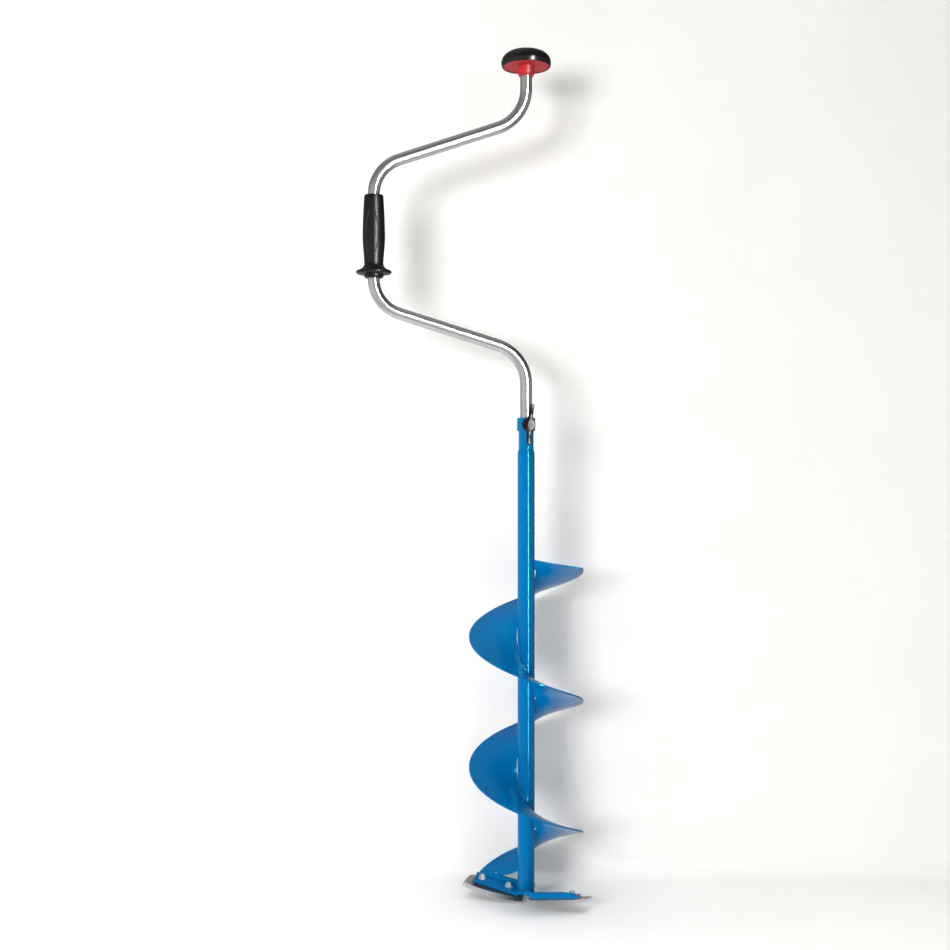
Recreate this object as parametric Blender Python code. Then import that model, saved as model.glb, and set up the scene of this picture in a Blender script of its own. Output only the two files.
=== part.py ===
"""Hand-cranked ice auger, as an assembly of its separate pieces.

The frame: +Z runs up the drill's axis, the origin is the middle of the shaft's flat bottom
end, the crank reaches out along -X, and the clamp's wing screw faces -Y. Sizes are in metres.
The flight is left-handed, so the auger cuts as it turns anticlockwise seen from above.
"""

import math

import bmesh
import bpy
from mathutils import Matrix, Vector

GAP = 0.0003  # clearance between pieces that touch or run in each other

# Shaft: a steel tube with a swaged neck and a clamp collar.
TUBE_RADIUS = 0.0130
TUBE_BORE = 0.0110
TAPER_BOTTOM = 0.6660
TAPER_TOP = 0.6735
NECK_RADIUS = 0.0114
NECK_BORE = 0.0094
COLLAR_RADIUS = 0.0139
COLLAR_TOP = 0.7205
COLLAR_HEIGHT = 0.0200
COLLAR_ROUNDING = 0.0014
PLUG_DEPTH = 0.006

# Flight: one left-handed sheet steel spiral.
FLIGHT_RADIUS = 0.0871
FLIGHT_THICKNESS = 0.0025
FLIGHT_PITCH = 0.198
FLIGHT_SIDE_Z = 0.4872  # height of the spiral where it first crosses +X
FLIGHT_TOP_INNER = math.radians(-32)  # the top end's cut, at the tube and at the rim
FLIGHT_TOP_RIM = math.radians(-12)
FLIGHT_TIP_ROUNDING = 0.009
# How far behind the axis the bottom end is cut, by radius: over the left holder's flange,
# then against the back of it.
FLIGHT_CUT = ((0.0133, 0.0130), (0.025, 0.0160), (0.051, 0.0178), (0.061, 0.0240), (0.100, 0.0240))

# Cutting head: two blades on tilted holders, a half turn apart.
HEAD_SWEEP = math.radians(20.0)
HEAD_RISE = math.radians(8.25)
HEAD_RAKE = math.radians(11.8)
HEAD_CENTRE = Vector((0.0, 0.0, -0.0109))  # where the blades' lower faces meet the axis
BLADE_THICKNESS = 0.0021
BLADE_EDGE = (
    (0.0040, 0.0084),
    (0.0182, 0.0129),
    (0.0350, 0.0158),
    (0.0560, 0.0175),
    (0.0740, 0.0171),
    (0.0910, 0.0146),
    (0.1014, 0.0116),
)
BLADE_REAR = -0.0160
BLADE_BEVEL = 0.0085
HOLDER_THICKNESS = 0.0046
HOLDER_OUTLINE = ((0.0124, 0.0032), (0.0868, -0.0008), (0.0892, -0.0236), (0.0200, -0.0236))
# The flange's top height at places out along it; the last is its end.
FLANGE_TOP = ((0.0215, 0.0090), (0.040, 0.0112), (0.051, 0.0127), (0.062, 0.0144), (0.083, 0.0157))
FLANGE_AT_TUBE = (0.0026, 0.0081)  # the flange's bottom and top where it passes the tube
SCREW_PLACES = ((0.0321, -0.0095), (0.0763, -0.0110))

# M5 screws and flange nuts of the blades.
M5_RADIUS = 0.0025
M5_HEAD_RADIUS = 0.0046
M5_HEAD_HEIGHT = 0.0022
M5_NUT_ACROSS_FLATS = 0.0080
M5_NUT_FLANGE_RADIUS = 0.0059
M5_NUT_FLANGE_HEIGHT = 0.0012
M5_NUT_HEIGHT = 0.0050
M5_PROUD = 0.0008  # screw end past the nut

# Crank: a bent tube that telescopes in the shaft.
CRANK_RADIUS = 0.0090
CRANK_BORE = 0.0075
CRANK_THROW = 0.2315
CRANK_BOTTOM = 0.4003
CRANK_TOP = 1.2575
LOWER_ARM_Z = 0.8172  # where the lower arm's centre line would meet the axis
UPPER_ARM_Z = 1.1751
ARM_DROP = 0.0743  # height that each arm gains or loses over the throw
BEND_AT_AXIS = 0.062
BEND_AT_GRIP = 0.055
BUSH_LENGTH = 0.028
BUSH_RADIUS = 0.0107
RING_THICKNESS = 0.0015
CAP_FLANGE_RADIUS = 0.0104
CAP_FLANGE_THICKNESS = 0.0020
CAP_DEPTH = 0.012

# Hand grip and top knob, which both spin on the crank.
RUNNING_BORE = 0.00935
GRIP_BOTTOM = 0.9328
GRIP_TOP = 1.0594
GRIP_BELLY_RADIUS = 0.0171
GRIP_BELLY_Z = 0.9956
GRIP_WAIST_RADIUS = 0.0146
GRIP_WAIST_Z = 0.9540
GRIP_TOP_RADIUS = 0.0146
GRIP_FLANGE_RADIUS = 0.0270
GRIP_FLANGE_Z = 0.9420
GRIP_FLANGE_HALF = 0.0027
KNOB_RADIUS = 0.0378
KNOB_TOP = 1.2776
KNOB_FLAT_RADIUS = 0.0130
KNOB_WIDEST_Z = 1.2588
KNOB_LIP_Z = 1.2534
KNOB_WALL = 0.0035
DISC_RADIUS = 0.0346
DISC_BOTTOM = 1.2542
DISC_TOP = 1.2582
HUB_RADIUS = 0.0131
HUB_BOTTOM = 1.2394
HUB_BOTTOM_RADIUS = 0.0108
HUB_CHAMFER_TOP = 1.2440
WEB_BOTTOM = 1.2579
WEB_TOP = 1.2615
M8_RADIUS = 0.0040
M8_HEAD_ACROSS_FLATS = 0.0130
M8_HEAD_HEIGHT = 0.0050
M8_WASHER_RADIUS = 0.0088
M8_WASHER_THICKNESS = 0.0015

# Clamp: a wing screw in the collar that presses a pad on the crank tube.
CLAMP_Z = 0.7100
CLAMP_TURN = math.radians(9)  # the screw points this far to +X of -Y
WING_TILT = math.radians(5.3)
PAD_INNER = 0.00935
PAD_OUTER = 0.0120
PAD_RADIUS = 0.0038
STUD_OUTER = 0.0290
WING_BASE = 0.0165
WING_BASE_THICKNESS = 0.0050
WING_BASE_RADIUS = 0.0105
WING_HUB_FRONT = 0.0340
WING_HUB_HALF_WIDTH = 0.0047
WING_HUB_HALF_HEIGHT = 0.0098
# The wings' sections, by distance up the wing: inner face, outer face and width.
WING_SECTIONS = (
    (0.0, 0.0200, 0.0325, 0.0094),
    (0.0060, 0.0203, 0.0322, 0.0090),
    (0.0105, 0.0213, 0.0312, 0.0070),
    (0.0150, 0.0236, 0.0316, 0.0055),
    (0.0200, 0.0267, 0.0333, 0.0048),
    (0.0250, 0.0288, 0.0348, 0.0050),
    (0.0285, 0.0297, 0.0352, 0.0050),
    (0.0300, 0.0304, 0.0348, 0.0040),
    (0.0308, 0.0314, 0.0338, 0.0022),
)


def clear_scene():
    for item in list(bpy.data.objects):
        bpy.data.objects.remove(item)


def material(name, colour, metallic, roughness):
    made = bpy.data.materials.new(name)
    made.use_nodes = True
    shader = made.node_tree.nodes["Principled BSDF"]
    shader.inputs["Base Color"].default_value = (*colour, 1.0)
    shader.inputs["Metallic"].default_value = metallic
    shader.inputs["Roughness"].default_value = roughness
    return made


def finish_mesh(name, bm, surface, matrix=None, smooth_angle=35):
    """One object from a bmesh, welded, facing out, with its own material."""
    bmesh.ops.remove_doubles(bm, verts=bm.verts, dist=1e-6)
    bmesh.ops.recalc_face_normals(bm, faces=bm.faces)
    mesh = bpy.data.meshes.new(name)
    bm.to_mesh(mesh)
    bm.free()
    mesh.materials.append(surface)
    mesh.shade_smooth()
    mesh.set_sharp_from_angle(angle=math.radians(smooth_angle))
    made = bpy.data.objects.new(name, mesh)
    bpy.context.scene.collection.objects.link(made)
    if matrix is not None:
        made.matrix_world = matrix
    return made


def empty(name, place=(0.0, 0.0, 0.0)):
    made = bpy.data.objects.new(name, None)
    made.location = place
    bpy.context.scene.collection.objects.link(made)
    return made


def hang(child, parent):
    """Parents child to parent and leaves it where it is."""
    bpy.context.view_layer.update()
    child.parent = parent
    child.matrix_parent_inverse = parent.matrix_world.inverted()
    return child


def turned(name, profile, surface, segments, matrix=None):
    """A solid of revolution about Z. The profile is a closed loop of (radius, height)."""
    bm = bmesh.new()
    verts = [bm.verts.new((radius, 0.0, height)) for radius, height in profile]
    edges = [bm.edges.new((verts[i], verts[(i + 1) % len(verts)])) for i in range(len(verts))]
    bmesh.ops.spin(
        bm,
        geom=verts + edges,
        cent=(0, 0, 0),
        axis=(0, 0, 1),
        angle=math.tau,
        steps=segments,
        use_merge=True,
    )
    flat = [edge for edge in bm.edges if edge.calc_length() < 1e-7]
    bmesh.ops.dissolve_degenerate(bm, edges=flat, dist=1e-7)
    on_axis = [e for e in bm.edges if all(v.co.xy.length < 1e-7 for v in e.verts)]
    bmesh.ops.delete(bm, geom=on_axis, context="EDGES_FACES")
    return finish_mesh(name, bm, surface, matrix)


def prism(outline, low, high):
    """A bmesh of an outline of (x, y) between two heights."""
    bm = bmesh.new()
    face = bm.faces.new([bm.verts.new((x, y, low)) for x, y in outline])
    grown = bmesh.ops.extrude_face_region(bm, geom=[face])["geom"]
    moved = [item for item in grown if isinstance(item, bmesh.types.BMVert)]
    bmesh.ops.translate(bm, verts=moved, vec=(0, 0, high - low))
    return bm


def ellipse(half_x, half_y, count):
    return [
        (half_x * math.cos(math.tau * i / count), half_y * math.sin(math.tau * i / count))
        for i in range(count)
    ]


def arc(centre, radius, start, stop, steps):
    """Points (x, y) on an arc, the angles in degrees."""
    angles = [math.radians(start + (stop - start) * i / steps) for i in range(steps + 1)]
    return [(centre[0] + radius * math.cos(a), centre[1] + radius * math.sin(a)) for a in angles]


def boolean(target, tool, operation):
    """Joins or cuts target with tool, which stays behind as a hidden guide."""
    tool.hide_render = True
    tool.hide_viewport = False
    tool.display_type = "WIRE"
    step = target.modifiers.new(operation.lower(), "BOOLEAN")
    step.operation = operation
    step.solver = "EXACT"
    step.object = tool
    return target


def clamp_matrix():
    """The clamp screw's frame: +Z out of the collar along the screw, +Y up its wings."""
    out = Vector((math.sin(CLAMP_TURN), -math.cos(CLAMP_TURN), 0.0))
    up = Vector((0.0, 0.0, 1.0))
    across = up.cross(out)
    turn = Matrix((across, up, out)).transposed().to_4x4()
    return Matrix.Translation((0.0, 0.0, CLAMP_Z)) @ turn


def shaft_hole(name, start, stop):
    """A cutter for the clamp screw's hole, between two distances from the axis."""
    bm = prism(ellipse(M8_RADIUS + GAP, M8_RADIUS + GAP, 24), start, stop)
    return finish_mesh(name, bm, MATERIALS["blue_paint"], clamp_matrix())


# ---------------------------------------------------------------- shaft


def outer_tube():
    profile = (
        (TUBE_RADIUS, 0.0),
        (TUBE_RADIUS, TAPER_BOTTOM),
        (NECK_RADIUS, TAPER_TOP),
        (NECK_RADIUS, COLLAR_TOP - GAP),
        (NECK_BORE, COLLAR_TOP - GAP),
        (NECK_BORE, TAPER_TOP + 0.001),
        (TUBE_BORE, TAPER_BOTTOM),
        (TUBE_BORE, 0.0),
    )
    tube = turned("outer_tube", profile, MATERIALS["blue_paint"], 48)
    return boolean(tube, shaft_hole("tube_hole_cutter", 0.005, 0.0135), "DIFFERENCE")


def clamp_collar():
    low = COLLAR_TOP - COLLAR_HEIGHT
    corner = COLLAR_RADIUS - COLLAR_ROUNDING
    inner = NECK_RADIUS + GAP
    profile = [(inner, low)]
    profile += arc((corner, low + COLLAR_ROUNDING), COLLAR_ROUNDING, -90, 0, 4)
    profile += arc((corner + 0.0008, COLLAR_TOP - 0.0006), 0.0006, 0, 90, 2)
    profile += [(inner, COLLAR_TOP)]
    collar = turned("clamp_collar", profile, MATERIALS["blue_paint"], 40)
    return boolean(collar, shaft_hole("collar_hole_cutter", 0.010, 0.018), "DIFFERENCE")


def shaft_end_plug():
    radius = TUBE_BORE - GAP
    profile = ((0.0, 0.0), (radius, 0.0), (radius, PLUG_DEPTH), (0.0, PLUG_DEPTH))
    return turned("shaft_end_plug", profile, MATERIALS["blue_paint"], 32)


# ---------------------------------------------------------------- flight


def flight_z(angle):
    return FLIGHT_SIDE_Z - FLIGHT_PITCH * angle / math.tau


def flight_start(radius):
    """Angle at which the flight's top end is cut, by radius, with a rounded outer corner."""
    inner = TUBE_RADIUS + GAP
    share = (radius - inner) / (FLIGHT_RADIUS - inner)
    angle = FLIGHT_TOP_INNER + (FLIGHT_TOP_RIM - FLIGHT_TOP_INNER) * share
    into_corner = radius - (FLIGHT_RADIUS - FLIGHT_TIP_ROUNDING)
    if into_corner > 0:
        drop = FLIGHT_TIP_ROUNDING - math.sqrt(FLIGHT_TIP_ROUNDING**2 - into_corner**2)
        angle += drop / radius
    return angle


def between(points, at):
    """Straight-line interpolation through (x, y) points."""
    for (x0, y0), (x1, y1) in zip(points, points[1:]):
        if at <= x1:
            return y0 + (y1 - y0) * (at - x0) / (x1 - x0)
    return points[-1][1]


def flight_end(radius):
    """Angle at which the flight's bottom end is cut, along the left holder."""
    facing = math.pi / 2 - HEAD_SWEEP
    return 4 * math.pi + facing + math.acos(between(FLIGHT_CUT, radius) / radius)


def flight():
    inner = TUBE_RADIUS + GAP
    corner = FLIGHT_RADIUS - FLIGHT_TIP_ROUNDING
    radii = [inner, 0.0190, 0.0270, 0.0390, 0.0510, 0.0610, 0.0700, corner]
    radii += [corner + FLIGHT_TIP_ROUNDING * share for share in (0.5, 0.8, 0.95, 0.999)]
    steps = 80
    bm = bmesh.new()
    grid = []
    for step in range(steps + 1):
        share = step / steps
        row = []
        for radius in radii:
            angle = flight_start(radius) * (1 - share) + flight_end(radius) * share
            middle = Vector((radius * math.cos(angle), radius * math.sin(angle), flight_z(angle)))
            half = Vector((0.0, 0.0, FLIGHT_THICKNESS / 2))
            row.append((bm.verts.new(middle + half), bm.verts.new(middle - half)))
        grid.append(row)
    last = len(radii) - 1
    for step in range(steps):
        near, far = grid[step], grid[step + 1]
        for i in range(last):
            bm.faces.new((near[i][0], near[i + 1][0], far[i + 1][0], far[i][0]))
            bm.faces.new((near[i][1], far[i][1], far[i + 1][1], near[i + 1][1]))
        for i in (0, last):
            bm.faces.new((near[i][0], near[i][1], far[i][1], far[i][0]))
    for row in (grid[0], grid[-1]):
        for i in range(last):
            bm.faces.new((row[i][0], row[i][1], row[i + 1][1], row[i + 1][0]))
    return finish_mesh("flight", bm, MATERIALS["blue_paint"])


# ---------------------------------------------------------------- cutting head


def head_matrix():
    """The right blade's frame: +X outward along the blade, +Y forward, +Z up through it."""
    turn = Matrix.Rotation(-HEAD_SWEEP, 4, "Z")
    turn = turn @ Matrix.Rotation(-HEAD_RISE, 4, "Y") @ Matrix.Rotation(-HEAD_RAKE, 4, "X")
    return Matrix.Translation(HEAD_CENTRE) @ turn


def head_sides():
    """The name and frame of each half of the cutting head."""
    right = head_matrix()
    return (("right", right), ("left", Matrix.Rotation(math.pi, 4, "Z") @ right))


def screw_cutter(name, place, matrix, deep):
    """A cutter for a blade screw's hole, with a countersink when deep is true."""
    hole = M5_RADIUS + GAP
    top = 0.012
    profile = [(0.0, -0.001), (hole, -0.001), (hole, top), (0.0, top)]
    if deep:
        head = M5_HEAD_RADIUS + GAP
        profile = [(0.0, -0.001), (head, -0.001), (head, 0.0002), (hole, M5_HEAD_HEIGHT)]
        profile += [(hole, top), (0.0, top)]
    place_matrix = matrix @ Matrix.Translation((*place, 0.0))
    return turned(name, profile, MATERIALS["bright_steel"], 24, place_matrix)


def blade(side, matrix):
    """A blade with a ground bevel that runs along the whole of its curved edge."""
    rear = [(0.0998, -0.0115), (0.0986, -0.0165), (0.0950, -0.0200), (0.0905, -0.0202)]
    rear += [(0.0850, BLADE_REAR), (0.0165, BLADE_REAR), (0.0062, -0.0070)]
    count = len(BLADE_EDGE)
    low = [Vector((x, y, 0.0)) for x, y in BLADE_EDGE]
    low += [Vector((x, y, 0.0)) for x, y in rear]
    high = [Vector((x, y - BLADE_BEVEL, BLADE_THICKNESS)) for x, y in BLADE_EDGE]
    high[0].x += 0.0010
    high[count - 1].x -= 0.0005
    high += [Vector((x, y, BLADE_THICKNESS)) for x, y in rear]
    bm = bmesh.new()
    lower = [bm.verts.new(p) for p in low]
    upper = [bm.verts.new(p) for p in high]
    bm.faces.new(list(reversed(lower)))
    bm.faces.new(upper)
    for i in range(len(low)):
        j = (i + 1) % len(low)
        bm.faces.new((lower[i], lower[j], upper[j], upper[i]))
    made = finish_mesh(f"blade_{side}", bm, MATERIALS["blade_steel"], matrix, 12)
    for i, place in enumerate(SCREW_PLACES):
        boolean(made, screw_cutter(f"blade_{side}_cutter_{i}", place, matrix, True), "DIFFERENCE")
    return made


def flange_stations(matrix):
    """Plan points, bottom and top of the holder's rear flange, from the tube outwards."""
    wall = HOLDER_THICKNESS / 2
    under = BLADE_THICKNESS + GAP
    inward = matrix @ Vector((FLANGE_TOP[0][0], HOLDER_OUTLINE[3][1], under))
    outer = matrix @ Vector((FLANGE_TOP[-1][0], HOLDER_OUTLINE[2][1], under))
    along = (outer - inward).xy.normalized()
    forward = Vector((-along.y, along.x)) * wall
    side = 1.0 if outer.x > 0 else -1.0
    front = -side * (TUBE_RADIUS + GAP + wall)
    bottom, top = FLANGE_AT_TUBE
    start = Vector((-side * 0.0145, front))
    leave = Vector((-side * 0.0035, front))
    reach = inward.xy + forward
    stations = [(start, bottom, top - 0.0008), (leave, bottom, top)]
    for step in range(1, 10):
        share = step / 10
        ease = smooth(share)
        place = Vector((leave.x + (reach.x - leave.x) * share, leave.y + (reach.y - leave.y) * ease))
        low = bottom + (inward.z - bottom) * ease
        high = top + (FLANGE_TOP[0][1] - top) * ease
        stations.append((place, low, high))
    end = outer.xy + forward
    for place, high in FLANGE_TOP:
        share = (place - FLANGE_TOP[0][0]) / (FLANGE_TOP[-1][0] - FLANGE_TOP[0][0])
        low = inward.z + (outer.z - inward.z) * share
        stations.append((reach.lerp(end, share), low, high))
    return stations


def flange_wall(name, matrix):
    """The upright strip along the holder's back, which wraps round the tube."""
    stations = flange_stations(matrix)
    bm = bmesh.new()
    rings = []
    for i, (place, low, high) in enumerate(stations):
        before = stations[max(i - 1, 0)][0]
        after = stations[min(i + 1, len(stations) - 1)][0]
        along = (after - before).normalized()
        across = Vector((-along.y, along.x)) * (HOLDER_THICKNESS / 2)
        round_top = 0.0009
        corners = (
            (-1.0, low),
            (1.0, low),
            (1.0, high - round_top),
            (0.5, high),
            (-0.5, high),
            (-1.0, high - round_top),
        )
        rings.append([bm.verts.new((*(place + across * k), z)) for k, z in corners])
    sides = len(rings[0])
    for near, far in zip(rings, rings[1:]):
        for i in range(sides):
            j = (i + 1) % sides
            bm.faces.new((near[i], near[j], far[j], far[i]))
    bm.faces.new(rings[0])
    bm.faces.new(list(reversed(rings[-1])))
    return finish_mesh(name, bm, MATERIALS["blue_paint"])


def holder(side, matrix):
    low = BLADE_THICKNESS + GAP
    bm = prism(HOLDER_OUTLINE, low, low + HOLDER_THICKNESS)
    made = finish_mesh(f"blade_holder_{side}", bm, MATERIALS["blue_paint"], matrix)
    boolean(made, flange_wall(f"holder_{side}_flange_guide", matrix), "UNION")
    for i, place in enumerate(SCREW_PLACES):
        boolean(made, screw_cutter(f"holder_{side}_cutter_{i}", place, matrix, False), "DIFFERENCE")
    return made


def blade_screw(name, matrix, top):
    profile = (
        (0.0, 0.0001),
        (M5_HEAD_RADIUS, 0.0001),
        (M5_RADIUS, M5_HEAD_HEIGHT),
        (M5_RADIUS, top - 0.0005),
        (M5_RADIUS - 0.0005, top),
        (0.0, top),
    )
    return turned(name, profile, MATERIALS["bright_steel"], 24, matrix)


def washer(name, bore, radius, low, thickness, matrix=None):
    profile = ((bore, low), (radius, low), (radius, low + thickness), (bore, low + thickness))
    return turned(name, profile, MATERIALS["bright_steel"], 24, matrix)


def hexagon(across_flats):
    corner = across_flats / 2 / math.cos(math.pi / 6)
    return ellipse(corner, corner, 6)


def flange_nut(name, low, matrix):
    shoulder = low + M5_NUT_FLANGE_HEIGHT
    skirt = (
        (0.0, low),
        (M5_NUT_FLANGE_RADIUS, low),
        (M5_NUT_FLANGE_RADIUS, low + 0.0007),
        (M5_NUT_ACROSS_FLATS / 2 - 0.0004, shoulder + 0.0009),
        (0.0, shoulder + 0.0009),
    )
    made = turned(name, skirt, MATERIALS["bright_steel"], 24, matrix)
    bm = prism(hexagon(M5_NUT_ACROSS_FLATS), low + 0.0004, low + M5_NUT_HEIGHT)
    boolean(made, finish_mesh(f"{name}_hex_guide", bm, MATERIALS["bright_steel"], matrix), "UNION")
    hole = M5_RADIUS + GAP
    bore = ((0.0, low - 0.001), (hole, low - 0.001), (hole, low + 0.008), (0.0, low + 0.008))
    cutter = turned(f"{name}_cutter", bore, MATERIALS["bright_steel"], 24, matrix)
    return boolean(made, cutter, "DIFFERENCE")


def cutting_head():
    pieces = []
    for side, matrix in head_sides():
        pieces += [blade(side, matrix), holder(side, matrix)]
        for label, place in zip(("inner", "outer"), SCREW_PLACES):
            here = matrix @ Matrix.Translation((*place, 0.0))
            seat = BLADE_THICKNESS + HOLDER_THICKNESS + 2 * GAP
            top = seat + M5_NUT_HEIGHT + M5_PROUD
            pieces.append(blade_screw(f"blade_screw_{side}_{label}", here, top))
            pieces.append(flange_nut(f"nut_{side}_{label}", seat, here))
    return pieces


# ---------------------------------------------------------------- crank


def crank_corners():
    """The crank's centre line as (x, z) corners, each with its bend radius."""
    grip_low = LOWER_ARM_Z + ARM_DROP
    grip_high = UPPER_ARM_Z - ARM_DROP
    return (
        ((0.0, CRANK_BOTTOM), 0.0),
        ((0.0, LOWER_ARM_Z), BEND_AT_AXIS),
        ((-CRANK_THROW, grip_low), BEND_AT_GRIP),
        ((-CRANK_THROW, grip_high), BEND_AT_GRIP),
        ((0.0, UPPER_ARM_Z), BEND_AT_AXIS),
        ((0.0, CRANK_TOP), 0.0),
    )


def bent_path(corners, steps):
    """Points and directions along straight runs joined by arcs, in the XZ plane."""
    path = [(Vector(corners[0][0]), (Vector(corners[1][0]) - Vector(corners[0][0])).normalized())]
    for i in range(1, len(corners) - 1):
        corner, radius = Vector(corners[i][0]), corners[i][1]
        come = (corner - Vector(corners[i - 1][0])).normalized()
        go = (Vector(corners[i + 1][0]) - corner).normalized()
        turn = come.angle_signed(go)
        reach = radius * math.tan(abs(turn) / 2)
        start = corner - come * reach
        side = Vector((-come.y, come.x)) * (-1.0 if turn > 0 else 1.0)
        centre = start + side * radius
        for step in range(steps + 1):
            angle = -turn * step / steps
            spoke = start - centre
            cos_a, sin_a = math.cos(angle), math.sin(angle)
            arm = Vector((spoke.x * cos_a - spoke.y * sin_a, spoke.x * sin_a + spoke.y * cos_a))
            heading = Vector((come.x * cos_a - come.y * sin_a, come.x * sin_a + come.y * cos_a))
            path.append((centre + arm, heading))
    path.append((Vector(corners[-1][0]), (Vector(corners[-1][0]) - Vector(corners[-2][0])).normalized()))
    return path


def crank_tube():
    path = bent_path(crank_corners(), 8)
    sides = 24
    bm = bmesh.new()
    skins = []
    for radius in (CRANK_RADIUS, CRANK_BORE):
        rings = []
        for place, heading in path:
            across = Vector((-heading.y, heading.x))
            ring = []
            for i in range(sides):
                angle = math.tau * i / sides
                offset = across * radius * math.cos(angle)
                point = (place.x + offset.x, radius * math.sin(angle), place.y + offset.y)
                ring.append(bm.verts.new(point))
            rings.append(ring)
        skins.append(rings)
        for near, far in zip(rings, rings[1:]):
            for i in range(sides):
                j = (i + 1) % sides
                bm.faces.new((near[i], near[j], far[j], far[i]))
    for end in (0, -1):
        outside, inside = skins[0][end], skins[1][end]
        for i in range(sides):
            j = (i + 1) % sides
            bm.faces.new((outside[i], outside[j], inside[j], inside[i]))
    return finish_mesh("crank_tube", bm, MATERIALS["chrome_tube"])


def crank_end_cap():
    low = CRANK_BOTTOM - GAP - CAP_FLANGE_THICKNESS
    radius = CRANK_BORE - GAP
    profile = (
        (0.0, low),
        (CAP_FLANGE_RADIUS, low),
        (CAP_FLANGE_RADIUS, low + CAP_FLANGE_THICKNESS),
        (radius, low + CAP_FLANGE_THICKNESS),
        (radius, low + CAP_DEPTH),
        (0.0, low + CAP_DEPTH),
    )
    return turned("crank_end_cap", profile, MATERIALS["black_plastic"], 32)


def guide_bush():
    low = CRANK_BOTTOM + GAP
    high = low + BUSH_LENGTH
    profile = (
        (RUNNING_BORE, low),
        (BUSH_RADIUS, low),
        (BUSH_RADIUS, high),
        (RUNNING_BORE, high),
    )
    return turned("guide_bush", profile, MATERIALS["white_nylon"], 32)


def bush_retaining_ring():
    low = CRANK_BOTTOM + BUSH_LENGTH + 2 * GAP
    return washer("bush_retaining_ring", RUNNING_BORE, CAP_FLANGE_RADIUS, low, RING_THICKNESS)


# ---------------------------------------------------------------- grip


def smooth(share):
    return share * share * (3 - 2 * share)


def grip_profile():
    """Half the grip's section, as (radius, height) from the bore's bottom round the outside."""
    profile = [(RUNNING_BORE, GRIP_BOTTOM), (0.0128, GRIP_BOTTOM), (0.0148, GRIP_BOTTOM + 0.0012)]
    profile += [(0.0150, GRIP_FLANGE_Z - GRIP_FLANGE_HALF - 0.0006), (0.0175, GRIP_FLANGE_Z - GRIP_FLANGE_HALF)]
    rim = GRIP_FLANGE_RADIUS - GRIP_FLANGE_HALF
    profile += arc((rim, GRIP_FLANGE_Z), GRIP_FLANGE_HALF, -90, 70, 5)
    for share in (0.25, 0.5, 0.75, 1.0):
        height = GRIP_FLANGE_Z + 0.0030 + (GRIP_WAIST_Z - GRIP_FLANGE_Z - 0.0030) * share
        radius = GRIP_WAIST_RADIUS + (0.0225 - GRIP_WAIST_RADIUS) * (1 - share) ** 1.8
        profile.append((radius, height))
    for share in (0.25, 0.5, 0.75, 1.0):
        height = GRIP_WAIST_Z + (GRIP_BELLY_Z - GRIP_WAIST_Z) * share
        radius = GRIP_WAIST_RADIUS + (GRIP_BELLY_RADIUS - GRIP_WAIST_RADIUS) * smooth(share)
        profile.append((radius, height))
    shoulder = GRIP_TOP - 0.0020
    for share in (0.3, 0.6, 1.0):
        height = GRIP_BELLY_Z + (shoulder - GRIP_BELLY_Z) * share
        radius = GRIP_BELLY_RADIUS + (GRIP_TOP_RADIUS - GRIP_BELLY_RADIUS) * share**1.6
        profile.append((radius, height))
    profile += [(GRIP_TOP_RADIUS - 0.0007, GRIP_TOP - 0.0005), (GRIP_TOP_RADIUS - 0.0020, GRIP_TOP)]
    profile.append((RUNNING_BORE, GRIP_TOP))
    return profile


def hand_grip():
    made = turned("hand_grip", grip_profile(), MATERIALS["black_rubber"], 32)
    made.location = (-CRANK_THROW, 0.0, 0.0)
    return made


# ---------------------------------------------------------------- knob


def dome(radius, top, flat, widest_z, steps):
    """Points down a knob's dome, from its flat top's rim to its widest height."""
    points = []
    for step in range(steps + 1):
        angle = math.pi / 2 * step / steps
        out = flat + (radius - flat) * math.sin(angle) ** 0.95
        points.append((out, widest_z + (top - widest_z) * math.cos(angle) ** 0.9))
    return points


def knob_cap():
    inner = DISC_RADIUS + GAP
    profile = [(0.0, KNOB_TOP)]
    profile += dome(KNOB_RADIUS, KNOB_TOP, KNOB_FLAT_RADIUS, KNOB_WIDEST_Z, 8)
    profile += [(KNOB_RADIUS - 0.0006, KNOB_WIDEST_Z - 0.0028), (KNOB_RADIUS - 0.0018, KNOB_LIP_Z)]
    profile += [(inner, KNOB_LIP_Z), (inner, DISC_TOP + GAP)]
    inside = dome(inner - 0.0005, KNOB_TOP - KNOB_WALL, KNOB_FLAT_RADIUS, DISC_TOP + GAP, 5)
    profile += list(reversed(inside)) + [(0.0, KNOB_TOP - KNOB_WALL)]
    return turned("knob_cap", profile, MATERIALS["black_plastic"], 40)


def knob_base():
    screw_bore = M8_RADIUS + 0.0004
    profile = [
        (RUNNING_BORE, HUB_BOTTOM),
        (HUB_BOTTOM_RADIUS, HUB_BOTTOM),
        (HUB_RADIUS, HUB_CHAMFER_TOP),
        (HUB_RADIUS, DISC_BOTTOM - 0.0012),
        (HUB_RADIUS + 0.0012, DISC_BOTTOM),
        (DISC_RADIUS, DISC_BOTTOM),
        (DISC_RADIUS, DISC_TOP),
        (HUB_RADIUS, DISC_TOP),
        (HUB_RADIUS, WEB_TOP),
        (screw_bore, WEB_TOP),
        (screw_bore, WEB_BOTTOM),
        (RUNNING_BORE, WEB_BOTTOM),
    ]
    return turned("knob_base", profile, MATERIALS["red_plastic"], 40)


def crank_screw_insert():
    high = CRANK_TOP - 0.0010
    return washer("crank_screw_insert", M8_RADIUS + GAP, CRANK_BORE - GAP, high - 0.022, 0.022)


def knob_washer():
    low = WEB_TOP + GAP
    return washer("knob_washer", M8_RADIUS + GAP, M8_WASHER_RADIUS, low, M8_WASHER_THICKNESS)


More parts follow.
